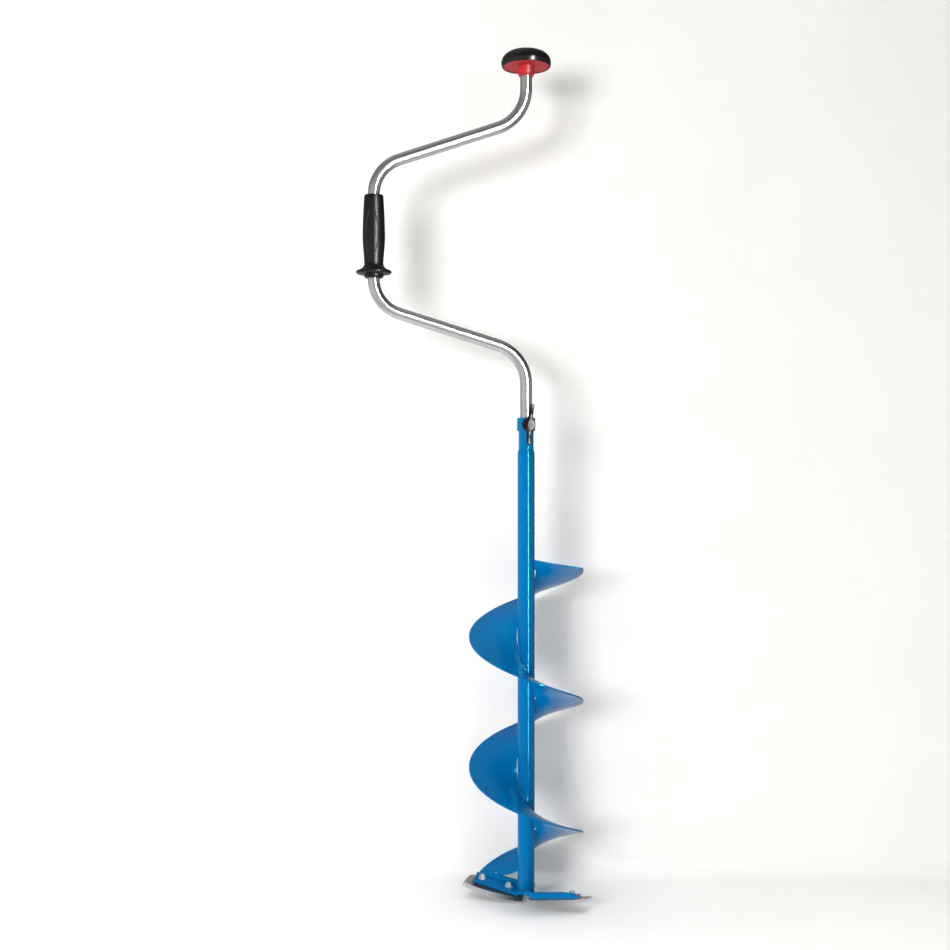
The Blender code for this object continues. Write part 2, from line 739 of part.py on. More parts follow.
def knob_screw():
    seat = WEB_TOP + M8_WASHER_THICKNESS + 2 * GAP
    bottom = CRANK_TOP - 0.018
    shank = ((0.0, bottom), (M8_RADIUS, bottom), (M8_RADIUS, seat + 0.001), (0.0, seat + 0.001))
    bm = prism(hexagon(M8_HEAD_ACROSS_FLATS), seat, seat + M8_HEAD_HEIGHT)
    head = finish_mesh("knob_screw", bm, MATERIALS["bright_steel"])
    return boolean(head, turned("knob_screw_shank_guide", shank, MATERIALS["bright_steel"], 24), "UNION")


# ---------------------------------------------------------------- clamp


def wing_ring(inner, outer, width):
    """A rounded section through a wing: (across, distance from the shaft's axis)."""
    corner = min(width, outer - inner) * 0.36
    ring = []
    half = width / 2 - corner
    for centre, start in (
        ((half, outer - corner), 0),
        ((-half, outer - corner), 90),
        ((-half, inner + corner), 180),
        ((half, inner + corner), 270),
    ):
        ring += arc(centre, corner, start, start + 90, 3)
    return ring


def wings(name, matrix):
    """Both wings, lofted from the lower tip through the hub to the upper tip."""
    sections = [(-up, *rest) for up, *rest in reversed(WING_SECTIONS[1:])] + list(WING_SECTIONS)
    bm = bmesh.new()
    rings = []
    for up, inner, outer, width in sections:
        points = wing_ring(inner, outer, width)
        rings.append([bm.verts.new((across, up, away)) for across, away in points])
    for near, far in zip(rings, rings[1:]):
        for i in range(len(near)):
            j = (i + 1) % len(near)
            bm.faces.new((near[i], near[j], far[j], far[i]))
    bm.faces.new(rings[0])
    bm.faces.new(list(reversed(rings[-1])))
    return finish_mesh(name, bm, MATERIALS["black_plastic"], matrix)


def wing_knob():
    matrix = clamp_matrix() @ Matrix.Rotation(-WING_TILT, 4, "Z")
    base_top = WING_BASE + WING_BASE_THICKNESS
    base = (
        (0.0, WING_BASE),
        (WING_BASE_RADIUS - 0.0010, WING_BASE),
        (WING_BASE_RADIUS, WING_BASE + 0.0010),
        (WING_BASE_RADIUS, base_top - 0.0022),
        (WING_BASE_RADIUS - 0.0006, base_top - 0.0009),
        (WING_BASE_RADIUS - 0.0022, base_top),
        (0.0, base_top),
    )
    made = turned("wing_knob", base, MATERIALS["black_plastic"], 32, matrix)
    hub = prism(ellipse(WING_HUB_HALF_WIDTH, WING_HUB_HALF_HEIGHT, 32), base_top - 0.001, WING_HUB_FRONT)
    boolean(made, finish_mesh("wing_hub_guide", hub, MATERIALS["black_plastic"], matrix), "UNION")
    boolean(made, wings("wings_guide", matrix), "UNION")
    bore = M8_RADIUS + GAP
    hole = ((0.0, 0.015), (bore, 0.015), (bore, STUD_OUTER + GAP), (0.0, STUD_OUTER + GAP))
    cutter = turned("wing_bore_cutter", hole, MATERIALS["black_plastic"], 24, matrix)
    return boolean(made, cutter, "DIFFERENCE")


def clamp_stud():
    low = PAD_OUTER + GAP
    profile = (
        (0.0, low),
        (M8_RADIUS - 0.0005, low),
        (M8_RADIUS, low + 0.0005),
        (M8_RADIUS, STUD_OUTER),
        (0.0, STUD_OUTER),
    )
    return turned("clamp_stud", profile, MATERIALS["bright_steel"], 24, clamp_matrix())


def clamp_pad():
    profile = ((0.0, PAD_INNER), (PAD_RADIUS, PAD_INNER), (PAD_RADIUS, PAD_OUTER), (0.0, PAD_OUTER))
    return turned("clamp_pad", profile, MATERIALS["brass"], 24, clamp_matrix())


# ---------------------------------------------------------------- assembly


def assemble():
    auger = empty("auger_axis")
    for piece in [outer_tube(), clamp_collar(), shaft_end_plug(), flight(), *cutting_head()]:
        hang(piece, auger)
    slider = hang(empty("crank_slide_axis"), auger)
    hang(guide_bush(), slider)
    crank = hang(empty("crank_swivel_axis"), slider)
    crank_pieces = [crank_tube(), crank_end_cap(), bush_retaining_ring(), crank_screw_insert()]
    for piece in [*crank_pieces, knob_washer(), knob_screw()]:
        hang(piece, crank)
    hang(hand_grip(), crank)
    knob = hang(empty("knob_axis", (0.0, 0.0, DISC_BOTTOM)), crank)
    hang(knob_cap(), knob)
    hang(knob_base(), knob)
    screw = empty("clamp_screw_axis")
    screw.matrix_world = clamp_matrix()
    hang(screw, auger)
    for piece in (clamp_pad(), clamp_stud(), wing_knob()):
        hang(piece, screw)


clear_scene()
MATERIALS = {
    "blue_paint": material("blue_paint", (0.0, 0.205, 0.527), 0.0, 0.30),
    "chrome_tube": material("chrome_tube", (0.72, 0.73, 0.75), 1.0, 0.16),
    "bright_steel": material("bright_steel", (0.78, 0.78, 0.76), 1.0, 0.30),
    "blade_steel": material("blade_steel", (0.42, 0.41, 0.40), 1.0, 0.38),
    "black_plastic": material("black_plastic", (0.014, 0.013, 0.014), 0.0, 0.38),
    "black_rubber": material("black_rubber", (0.012, 0.012, 0.013), 0.0, 0.60),
    "red_plastic": material("red_plastic", (0.62, 0.012, 0.018), 0.0, 0.40),
    "white_nylon": material("white_nylon", (0.80, 0.79, 0.75), 0.0, 0.50),
    "brass": material("brass", (0.72, 0.52, 0.22), 1.0, 0.35),
}
assemble()
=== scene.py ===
import math

import bmesh
import bpy
from mathutils import Matrix, Vector


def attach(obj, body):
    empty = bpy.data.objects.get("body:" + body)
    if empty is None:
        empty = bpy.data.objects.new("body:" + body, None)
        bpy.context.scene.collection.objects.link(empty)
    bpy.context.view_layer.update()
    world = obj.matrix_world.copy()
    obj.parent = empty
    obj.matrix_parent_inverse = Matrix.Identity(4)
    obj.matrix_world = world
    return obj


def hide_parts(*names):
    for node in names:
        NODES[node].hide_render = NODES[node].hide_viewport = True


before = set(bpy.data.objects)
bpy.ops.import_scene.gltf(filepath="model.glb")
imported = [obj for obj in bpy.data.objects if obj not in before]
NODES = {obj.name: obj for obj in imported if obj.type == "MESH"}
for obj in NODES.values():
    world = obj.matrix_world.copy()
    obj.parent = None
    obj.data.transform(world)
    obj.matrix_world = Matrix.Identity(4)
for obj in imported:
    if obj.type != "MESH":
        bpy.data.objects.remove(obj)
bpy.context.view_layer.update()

GAP = 0.0003  # clearance between pieces that touch

# Shaft tube and its collar
TUBE_RADIUS = 0.0130
TUBE_BORE = 0.0110
NECK_RADIUS = 0.0114
NECK_BORE = 0.0094
TAPER_BOTTOM = 0.6660
TAPER_TOP = 0.6735
COLLAR_RADIUS = 0.0139
COLLAR_TOP = 0.7205
COLLAR_LOW = 0.7005

# Spiral
FLIGHT_RADIUS = 0.0868
FLIGHT_HALF = 0.00125  # half the sheet's thickness
FLIGHT_STAND_OFF = 0.0012  # the slit between the tube and the spiral, bridged by welds
FLIGHT_PITCH = 0.198
FLIGHT_SIDE_Z = 0.4872  # height of the spiral where it first crosses +X
FLIGHT_TOP_INNER = math.radians(-32)  # the top end's cut, at the tube and at the rim
FLIGHT_TOP_RIM = math.radians(-12)
FLIGHT_TIP = 0.009  # rounding of the top end's corner
FLIGHT_FOOT = 0.0133  # radius where the end cuts are measured from
FLIGHT_CUT = ((0.0133, 0.0130), (0.025, 0.0160), (0.051, 0.0178), (0.061, 0.0240), (0.1, 0.0240))

# Cutting head, in its own tilted frame
HEAD_SWEEP = math.radians(20.0)
HEAD_RISE = math.radians(8.25)
HEAD_RAKE = math.radians(11.8)
HEAD_CENTRE = Vector((0.0, 0.0, -0.0109))
BLADE_THICKNESS = 0.0021
BLADE_BEVEL = 0.0085
BLADE_EDGE = (
    (0.0040, 0.0084), (0.0182, 0.0129), (0.0350, 0.0158), (0.0560, 0.0175),
    (0.0740, 0.0171), (0.0910, 0.0146), (0.1012, 0.0116),
)
BLADE_BACK = (
    (0.0996, -0.0115), (0.0984, -0.0163), (0.0950, -0.0198), (0.0905, -0.0200),
    (0.0850, -0.0160), (0.0165, -0.0160), (0.0062, -0.0070),
)
HOLDER_THICKNESS = 0.0046
HOLDER_OUTLINE = ((0.0124, 0.0032), (0.0868, -0.0008), (0.0892, -0.0236), (0.0200, -0.0236))
FLANGE_AT_TUBE = (0.0026, 0.0081)  # bottom and top of the upturned flange where it passes the tube
FLANGE_TOP = ((0.0215, 0.0090), (0.040, 0.0112), (0.051, 0.0127), (0.062, 0.0144), (0.083, 0.0157))
SCREW_PLACES = ((0.0321, -0.0095), (0.0763, -0.0110))
SCREW_LENGTH = 0.0058  # from the nut's seat to the screw's end
NUT_APOTHEM = 0.0040

# Crank, grip and knob
CRANK_RADIUS = 0.0090
CRANK_BORE = 0.0075
CRANK_THROW = 0.2315
CRANK_BOTTOM = 0.4003
CRANK_TOP = 1.2575
LOWER_ARM_Z = 0.8172  # where each arm's centre line would meet the axis
UPPER_ARM_Z = 1.1751
ARM_DROP = 0.0743  # height that each arm gains or loses over the throw
BEND_AT_AXIS = 0.062
BEND_AT_GRIP = 0.055
RUNNING_BORE = 0.00935  # bore of what turns on the crank
GRIP_BOTTOM = 0.9328
GRIP_TOP = 1.0594

# Clamp screw
CLAMP_Z = 0.7100
CLAMP_TURN = math.radians(9)  # the screw points this far to +X of -Y
WING_TILT = math.radians(5.3)
WING_SECTIONS = (  # height along the wing, its inner and outer face, its thickness
    (0.0, 0.0200, 0.0325, 0.0098), (0.0060, 0.0203, 0.0322, 0.0094),
    (0.0105, 0.0213, 0.0312, 0.0082), (0.0150, 0.0236, 0.0316, 0.0072),
    (0.0200, 0.0267, 0.0333, 0.0067), (0.0250, 0.0288, 0.0348, 0.0067),
    (0.0285, 0.0297, 0.0352, 0.0064), (0.0300, 0.0304, 0.0348, 0.0050),
    (0.0308, 0.0314, 0.0338, 0.0028),
)

# Studio
SWEEP_WALL = 0.118
SWEEP_CURVE = 0.035
SWEEP_FLOOR = -0.0150
SWEEP_REACH = 3.6


# ---------------------------------------------------------------- small helpers


def keep(bm, name, body, material, replaces=(), angle=40, matrix=None):
    """A finished piece from a bmesh: smooth shaded, riding on its body."""
    bmesh.ops.remove_doubles(bm, verts=bm.verts, dist=1e-7)
    bmesh.ops.recalc_face_normals(bm, faces=bm.faces)
    mesh = bpy.data.meshes.new(name)
    bm.to_mesh(mesh)
    bm.free()
    if matrix is not None:
        mesh.transform(matrix)
    mesh.materials.append(material)
    mesh.shade_smooth()
    mesh.set_sharp_from_angle(angle=math.radians(angle))
    made = bpy.data.objects.new(name, mesh)
    bpy.context.scene.collection.objects.link(made)
    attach(made, body)
    if replaces:
        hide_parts(*replaces)
    return made


def revolve(profile, segments):
    """A closed solid of revolution about Z from a loop of (radius, height)."""
    bm = bmesh.new()
    rings = []
    for radius, z in profile:
        turns = segments if radius > 0.0 else 1
        angles = [math.tau * k / segments for k in range(turns)]
        rings.append([bm.verts.new((radius * math.cos(a), radius * math.sin(a), z)) for a in angles])
    for near, far in zip(rings, rings[1:] + rings[:1]):
        for k in range(segments):
            j = (k + 1) % segments
            corners = (near[k % len(near)], near[j % len(near)], far[j % len(far)], far[k % len(far)])
            distinct = list(dict.fromkeys(corners))
            if len(distinct) > 2:
                bm.faces.new(distinct)
    return bm


def bridge(bm, rings):
    """Quads between each ring of vertices and the next."""
    for near, far in zip(rings, rings[1:]):
        for k in range(len(near)):
            j = (k + 1) % len(near)
            bm.faces.new((near[k], near[j], far[j], far[k]))


def close_ends(bm, rings):
    bm.faces.new(rings[0])
    bm.faces.new(list(reversed(rings[-1])))


def arc(centre, radius, start, stop, steps):
    """Points on a circle, between two angles in degrees."""
    angles = [math.radians(start + (stop - start) * i / steps) for i in range(steps + 1)]
    return [(centre[0] + radius * math.cos(a), centre[1] + radius * math.sin(a)) for a in angles]


def smooth(share):
    """Eases a share from 0 to 1 with level ends."""
    return share * share * (3 - 2 * share)


def between(points, at):
    """Straight-line reading of a table of (place, value)."""
    for (x0, y0), (x1, y1) in zip(points, points[1:]):
        if at <= x1:
            return y0 + (y1 - y0) * (at - x0) / (x1 - x0)
    return points[-1][1]


def curve_through(points, count):
    """Points on a smooth curve (Catmull-Rom) through the given ones."""
    places = [Vector(p) for p in points]
    places = [places[0] * 2 - places[1]] + places + [places[-1] * 2 - places[-2]]
    out = []
    for i in range(1, len(places) - 2):
        a, b, c, d = places[i - 1 : i + 3]
        for step in range(count):
            t = step / count
            out.append(
                0.5 * ((2 * b) + (c - a) * t + (2 * a - 5 * b + 4 * c - d) * t * t
                       + (3 * b - a - 3 * c + d) * t ** 3)
            )
    out.append(places[-2])
    return out


# ---------------------------------------------------------------- materials


class Shader:
    """Builds one procedural material, in object space."""

    def __init__(self, name):
        self.material = bpy.data.materials.new(name)
        self.material.use_nodes = True
        self.tree = self.material.node_tree
        self.bsdf = self.tree.nodes["Principled BSDF"]
        self.place = self.tree.nodes.new("ShaderNodeTexCoord").outputs["Object"]
        self.normal = None

    def link(self, a, b):
        self.tree.links.new(a, b)

    def node(self, kind, **sockets):
        made = self.tree.nodes.new(kind)
        for key, value in sockets.items():
            made.inputs[key.replace("_", " ")].default_value = value
        return made

    def stretched(self, scale):
        mapping = self.tree.nodes.new("ShaderNodeMapping")
        mapping.inputs["Scale"].default_value = scale
        self.link(self.place, mapping.inputs["Vector"])
        return mapping.outputs["Vector"]

    def noise(self, scale, detail=4.0, rough=0.55, vector=None):
        made = self.node("ShaderNodeTexNoise", Scale=scale, Detail=detail, Roughness=rough)
        self.link(vector or self.place, made.inputs["Vector"])
        return made.outputs["Fac"]

    def from_axis(self, near, far, low, high):
        """Grows from low to high with distance from the shaft's axis."""
        flat = self.stretched((1.0, 1.0, 0.0))
        length = self.tree.nodes.new("ShaderNodeVectorMath")
        length.operation = "LENGTH"
        self.link(flat, length.inputs[0])
        share = self.node("ShaderNodeMapRange", From_Min=near, From_Max=far)
        self.link(length.outputs["Value"], share.inputs["Value"])
        return self.ramp(share.outputs["Result"], low, high, 0.0, 1.0)

    def times(self, a, b):
        made = self.tree.nodes.new("ShaderNodeMix")
        made.data_type = "RGBA"
        made.blend_type = "MULTIPLY"
        made.inputs[0].default_value = 1.0
        self.link(a, made.inputs[6])
        self.link(b, made.inputs[7])
        return made.outputs[2]

    def ramp(self, value, low, high, a=0.35, b=0.65):
        """Maps a value to colours or greys between two stops."""
        made = self.tree.nodes.new("ShaderNodeValToRGB")
        for stop, place, colour in zip(made.color_ramp.elements, (a, b), (low, high)):
            stop.position = place
            stop.color = (*colour, 1.0) if isinstance(colour, tuple) else (colour,) * 3 + (1.0,)
        self.link(value, made.inputs["Fac"])
        return made.outputs["Color"]

    def mix(self, factor, a, b):
        made = self.tree.nodes.new("ShaderNodeMix")
        made.data_type = "RGBA"
        for socket, value in ((made.inputs[0], factor), (made.inputs[6], a), (made.inputs[7], b)):
            if isinstance(value, tuple):
                socket.default_value = (*value, 1.0)
            elif isinstance(value, float):
                socket.default_value = value
            else:
                self.link(value, socket)
        return made.outputs[2]

    def bump(self, height, strength, distance):
        made = self.node("ShaderNodeBump", Strength=strength, Distance=distance)
        self.link(height, made.inputs["Height"])
        if self.normal is not None:
            self.link(self.normal, made.inputs["Normal"])
        self.normal = made.outputs["Normal"]

    def done(self, colour=None, roughness=None, metallic=0.0, **uniform):
        self.bsdf.inputs["Metallic"].default_value = metallic
        for key, value in uniform.items():
            self.bsdf.inputs[key.replace("_", " ")].default_value = value
        if colour is not None:
            self.link(colour, self.bsdf.inputs["Base Color"])
        if roughness is not None:
            self.link(roughness, self.bsdf.inputs["Roughness"])
        if self.normal is not None:
            self.link(self.normal, self.bsdf.inputs["Normal"])
        return self.material


def blue_paint():
    s = Shader("blue_enamel")
    tone = s.ramp(s.noise(7.0, 4.0), (0.0, 0.138, 0.366), (0.0, 0.152, 0.396))
    specks = s.ramp(s.noise(520.0, 2.0), (0.0, 0.0, 0.0), (1.0, 1.0, 1.0), 0.72, 0.80)
    colour = s.mix(specks, tone, (0.004, 0.190, 0.455))
    rough = s.ramp(s.noise(25.0, 4.0), 0.135, 0.165)
    s.bump(s.noise(420.0, 2.0), 0.02, 0.0003)
    return s.done(colour, rough, IOR=1.45, Specular_Tint=(0.10, 0.66, 1.0, 1.0))


def weld_paint():
    s = Shader("painted_weld")
    tone = s.ramp(s.noise(300.0, 3.0), (0.0, 0.14, 0.37), (0.01, 0.20, 0.48))
    rough = s.ramp(s.noise(250.0, 4.0), 0.14, 0.24)
    s.bump(s.noise(700.0, 3.0), 0.3, 0.0005)
    return s.done(tone, rough, Specular_Tint=(0.12, 0.66, 1.0, 1.0))


def crank_metal():
    s = Shader("bright_tube")
    wrap = s.tree.nodes.new("ShaderNodeUVMap")
    wrap.uv_map = "along"
    around = s.tree.nodes.new("ShaderNodeMapping")
    around.inputs["Scale"].default_value = (60.0, 3.0, 1.0)
    s.link(wrap.outputs[0], around.inputs["Vector"])
    streak = s.noise(1.0, 4.0, 0.6, around.outputs["Vector"])
    tone = s.ramp(streak, (0.77, 0.77, 0.765), (0.83, 0.83, 0.82))
    cloud = s.ramp(s.noise(35.0, 5.0), (0.93, 0.93, 0.93), (1.0, 1.0, 1.0))
    colour = s.times(tone, cloud)
    rough = s.ramp(s.noise(30.0, 4.0), 0.20, 0.22)
    along_tube = s.tree.nodes.new("ShaderNodeTangent")
    along_tube.direction_type = "UV_MAP"
    along_tube.uv_map = "along"
    s.link(along_tube.outputs[0], s.bsdf.inputs["Tangent"])
    return s.done(colour, rough, metallic=1.0, Anisotropic=1.0)


def zinc():
    s = Shader("zinc_plate")
    tone = s.ramp(s.noise(500.0, 4.0), (0.74, 0.74, 0.72), (0.93, 0.93, 0.91))
    rough = s.ramp(s.noise(900.0, 3.0), 0.18, 0.32)
    s.bump(s.noise(1500.0, 2.0), 0.08, 0.0002)
    return s.done(tone, rough, metallic=0.75)


def blade_metal():
    s = Shader("blade_flat")
    tone = s.ramp(s.noise(70.0, 6.0), (0.40, 0.375, 0.345), (0.52, 0.49, 0.455))
    rough = s.ramp(s.noise(240.0, 5.0), 0.26, 0.38)
    s.bump(s.noise(600.0, 3.0), 0.08, 0.0003)
    # painted shade: the flats darken towards the axis, standing in for the holder's shadow and dark
    # reflections near the shaft
    painted_shade = s.from_axis(0.082, 0.091, (0.16, 0.17, 0.22), (1.0, 1.0, 1.0))
    return s.done(s.times(tone, painted_shade), rough, metallic=0.55)


def ground_metal():
    s = Shader("ground_bevel")
    lines = s.noise(1.0, 3.0, 0.6, s.stretched((1500.0, 60.0, 1500.0)))
    tone = s.ramp(lines, (0.66, 0.65, 0.64), (0.82, 0.81, 0.80))
    rough = s.ramp(lines, 0.22, 0.36)
    s.bump(lines, 0.08, 0.0002)
    # painted shade: the bevel darkens towards the axis, standing in for shadow and dark reflections at the
    # blade's inner end
    painted_shade = s.from_axis(0.018, 0.060, (0.10, 0.11, 0.15), (1.0, 1.0, 1.0))
    return s.done(s.times(tone, painted_shade), rough, metallic=0.45)


def black_plastic():
    s = Shader("black_satin")
    tone = s.ramp(s.noise(40.0, 4.0), (0.0045, 0.0040, 0.0042), (0.0085, 0.0078, 0.0080))
    rough = s.ramp(s.noise(700.0, 4.0), 0.17, 0.26)
    s.bump(s.noise(1600.0, 2.0), 0.06, 0.0002)
    return s.done(tone, rough, IOR=1.45)


def grip_rubber():
    s = Shader("black_grip")
    tone = s.ramp(s.noise(120.0, 4.0), (0.0035, 0.0035, 0.0038), (0.0075, 0.0075, 0.0080))
    rough = s.ramp(s.noise(400.0, 4.0), 0.27, 0.38)
    grain = s.node("ShaderNodeTexVoronoi", Scale=900.0)
    s.link(s.place, grain.inputs["Vector"])
    s.bump(grain.outputs["Distance"], 0.30, 0.0003)
    s.bump(s.noise(1400.0, 3.0), 0.15, 0.0002)
    return s.done(tone, rough, IOR=1.38)


def red_plastic():
    s = Shader("red_moulding")
    tone = s.ramp(s.noise(60.0, 4.0), (0.42, 0.008, 0.011), (0.53, 0.012, 0.016))
    rough = s.ramp(s.noise(600.0, 4.0), 0.36, 0.48)
    s.bump(s.noise(1500.0, 2.0), 0.10, 0.0002)
    return s.done(tone, rough, IOR=1.40)


def nylon():
    s = Shader("natural_nylon")
    tone = s.ramp(s.noise(80.0, 4.0), (0.70, 0.68, 0.62), (0.82, 0.80, 0.75))
    rough = s.ramp(s.noise(500.0, 4.0), 0.42, 0.56)
    s.bump(s.noise(1200.0, 2.0), 0.1, 0.0002)
    return s.done(tone, rough)


def brass():
    s = Shader("turned_brass")
    tone = s.ramp(s.noise(300.0, 4.0), (0.62, 0.43, 0.16), (0.78, 0.58, 0.27))
    rough = s.ramp(s.noise(700.0, 4.0), 0.25, 0.42)
    s.bump(s.noise(1500.0, 2.0), 0.1, 0.0002)
    return s.done(tone, rough, metallic=1.0)


BLUE = blue_paint()
WELD = weld_paint()
TUBE = crank_metal()
ZINC = zinc()
BLADE = blade_metal()
GROUND = ground_metal()
BLACK = black_plastic()
GRIP = grip_rubber()
RED = red_plastic()
NYLON = nylon()
BRASS = brass()


def dress(node, material):
    """Gives a CAD node that stays its finished material."""
    for slot in NODES[node].material_slots:
        slot.material = material


dress("shaft_end_plug", BLUE)
for node in ("bush_retaining_ring", "crank_screw_insert", "knob_washer", "knob_screw", "clamp_stud"):
    dress(node, ZINC)
dress("crank_end_cap", BLACK)
dress("guide_bush", NYLON)
dress("clamp_pad", BRASS)


# ---------------------------------------------------------------- shaft


def clamp_matrix():
    """Puts the clamp screw's own Z along its stud, out of the collar."""
    out = Vector((math.sin(CLAMP_TURN), -math.cos(CLAMP_TURN), 0.0))
    up = Vector((0.0, 0.0, 1.0))
    turn = Matrix((up.cross(out), up, out)).transposed().to_4x4()
    return Matrix.Translation((0.0, 0.0, CLAMP_Z)) @ turn


def outer_tube():
    """Straight tube with a swaged neck."""
    profile = [(TUBE_BORE, 0.0), (TUBE_RADIUS - 0.0004, 0.0), (TUBE_RADIUS, 0.0004)]
    profile += [(TUBE_RADIUS, 0.10 * i) for i in range(1, 7)]
    profile += [(TUBE_RADIUS, TAPER_BOTTOM - 0.0008)]
    for share in (0.1, 0.3, 0.5, 0.7, 0.9):
        z = TAPER_BOTTOM + (TAPER_TOP - TAPER_BOTTOM) * share
        profile.append((TUBE_RADIUS + (NECK_RADIUS - TUBE_RADIUS) * smooth(share), z))
    profile += [(NECK_RADIUS, TAPER_TOP + 0.0008), (NECK_RADIUS, COLLAR_TOP - GAP)]
    profile += [(NECK_BORE, COLLAR_TOP - GAP), (NECK_BORE, TAPER_TOP + 0.001), (TUBE_BORE, TAPER_BOTTOM)]
    keep(revolve(profile, 96), "shaft_tube", "auger", BLUE, ("outer_tube",), 50)


def clamp_collar():
    inner = NECK_RADIUS + 0.0001
    profile = [(inner, COLLAR_LOW), (COLLAR_RADIUS - 0.0022, COLLAR_LOW)]
    profile += arc((COLLAR_RADIUS - 0.0016, COLLAR_LOW + 0.0016), 0.0016, -80, 0, 6)
    profile += arc((COLLAR_RADIUS - 0.0006, COLLAR_TOP - 0.0006), 0.0006, 0, 90, 4)
    profile += [(0.0105, COLLAR_TOP), (0.0099, COLLAR_TOP - 0.0004), (inner, COLLAR_TOP - 0.0012)]
    keep(revolve(profile, 96), "collar_ring", "auger", BLUE, ("clamp_collar",), 50)


# ---------------------------------------------------------------- flight


def flight_z(angle):
    """Height of the sheet's middle; it falls as the angle grows."""
    return FLIGHT_SIDE_Z - FLIGHT_PITCH * angle / math.tau


def flight_start(radius):
    """Angle of the top end's slanted cut, with its rounded corner."""
    share = (radius - FLIGHT_FOOT) / (FLIGHT_RADIUS - FLIGHT_FOOT)
    angle = FLIGHT_TOP_INNER + (FLIGHT_TOP_RIM - FLIGHT_TOP_INNER) * share
    into = radius - (FLIGHT_RADIUS - FLIGHT_TIP)
    if into > 0:
        angle += (FLIGHT_TIP - math.sqrt(max(0.0, FLIGHT_TIP**2 - into**2))) / radius
    return angle


def flight_end(radius):
    """Angle where the spiral ends above the left holder."""
    return 4 * math.pi + math.pi / 2 - HEAD_SWEEP + math.acos(between(FLIGHT_CUT, radius) / radius)


def flight():
    """The left-handed spiral, cut to the head at its lower end."""
    corner = FLIGHT_RADIUS - FLIGHT_TIP
    inner = TUBE_RADIUS + FLIGHT_STAND_OFF
    radii = [inner + (corner - inner) * i / 16 for i in range(17)]
    radii += [corner + FLIGHT_TIP * math.sin(math.pi / 2 * i / 8) for i in range(1, 9)]
    steps = 320
    bm = bmesh.new()
    grid = []
    for step in range(steps + 1):
        share = step / steps
        row = []
        for i, radius in enumerate(radii):
            angle = flight_start(radius) * (1 - share) + flight_end(radius) * share
            place = Vector((radius * math.cos(angle), radius * math.sin(angle), flight_z(angle)))
            half = Vector((0.0, 0.0, FLIGHT_HALF))
            row.append((bm.verts.new(place + half), bm.verts.new(place - half)))
        grid.append(row)
    last = len(radii) - 1
    for near, far in zip(grid, grid[1:]):
        for i in range(last):
            bm.faces.new((near[i][0], near[i + 1][0], far[i + 1][0], far[i][0]))
            bm.faces.new((near[i][1], far[i][1], far[i + 1][1], near[i + 1][1]))
        for i in (0, last):
            bm.faces.new((near[i][0], near[i][1], far[i][1], far[i][0]))
    for row in (grid[0], grid[-1]):
        for i in range(last):
            bm.faces.new((row[i][0], row[i][1], row[i + 1][1], row[i + 1][0]))
    made = keep(bm, "spiral_flight", "auger", BLUE, ("flight",), 40)
    soften(made, 0.0005, 2)


def soften(made, width, segments, angle=35):
    """Small bevels on the sharp edges."""
    edge = made.modifiers.new("edges", "BEVEL")
    edge.width = width
    edge.segments = segments
    edge.limit_method = "ANGLE"
    edge.angle_limit = math.radians(angle)
    edge.harden_normals = True


def bead(name, path, radius):
    """A weld bead on the auger: a rippled rod laid along a path."""
    ripple = 0.18
    sides = 10
    length = 0.0
    bm = bmesh.new()
    rings = []
    for i, place in enumerate(path):
        before = path[max(i - 1, 0)]
        after = path[min(i + 1, len(path) - 1)]
        along = (after - before).normalized()
        length += (place - before).length
        side = along.orthogonal().normalized()
        up = along.cross(side)
        taper = min(1.0, 0.35 + 0.25 * min(i, len(path) - 1 - i))
        size = radius * taper * (1 + ripple * math.sin(length / radius * 2.2))
        ring = []
        for k in range(sides):
            angle = math.tau * k / sides
            offset = side * math.cos(angle) + up * math.sin(angle)
            ring.append(bm.verts.new(place + offset * size))
        rings.append(ring)
    bridge(bm, rings)
    close_ends(bm, rings)
    keep(bm, name, "auger", WELD, (), 60)


def flight_weld():
    """Short welds that bridge from the shaft to the flight's inner edge."""
    out, length, steps = 0.0136, 0.48, 18
    starts = [FLIGHT_TOP_INNER + 0.03, 1.6, 4.4, 5.6]
    starts += [math.tau + at for at in (-0.1, 1.6, 4.4, 5.6)] + [2 * math.tau + at for at in (-0.1, 1.2)]
    for i, first in enumerate(starts):
        path = []
        for k in range(steps + 1):
            angle = first + length * k / steps
            z = flight_z(angle) + FLIGHT_HALF * 0.6
            path.append(Vector((out * math.cos(angle), out * math.sin(angle), z)))
        bead(f"flight_weld_{i}", path, 0.0013)


# ---------------------------------------------------------------- cutting head


def head_matrix():
    """Frame of the right blade: X along its edge, Z out of its upper face."""
    turn = Matrix.Rotation(-HEAD_SWEEP, 4, "Z")
    turn = turn @ Matrix.Rotation(-HEAD_RISE, 4, "Y") @ Matrix.Rotation(-HEAD_RAKE, 4, "X")
    return Matrix.Translation(HEAD_CENTRE) @ turn


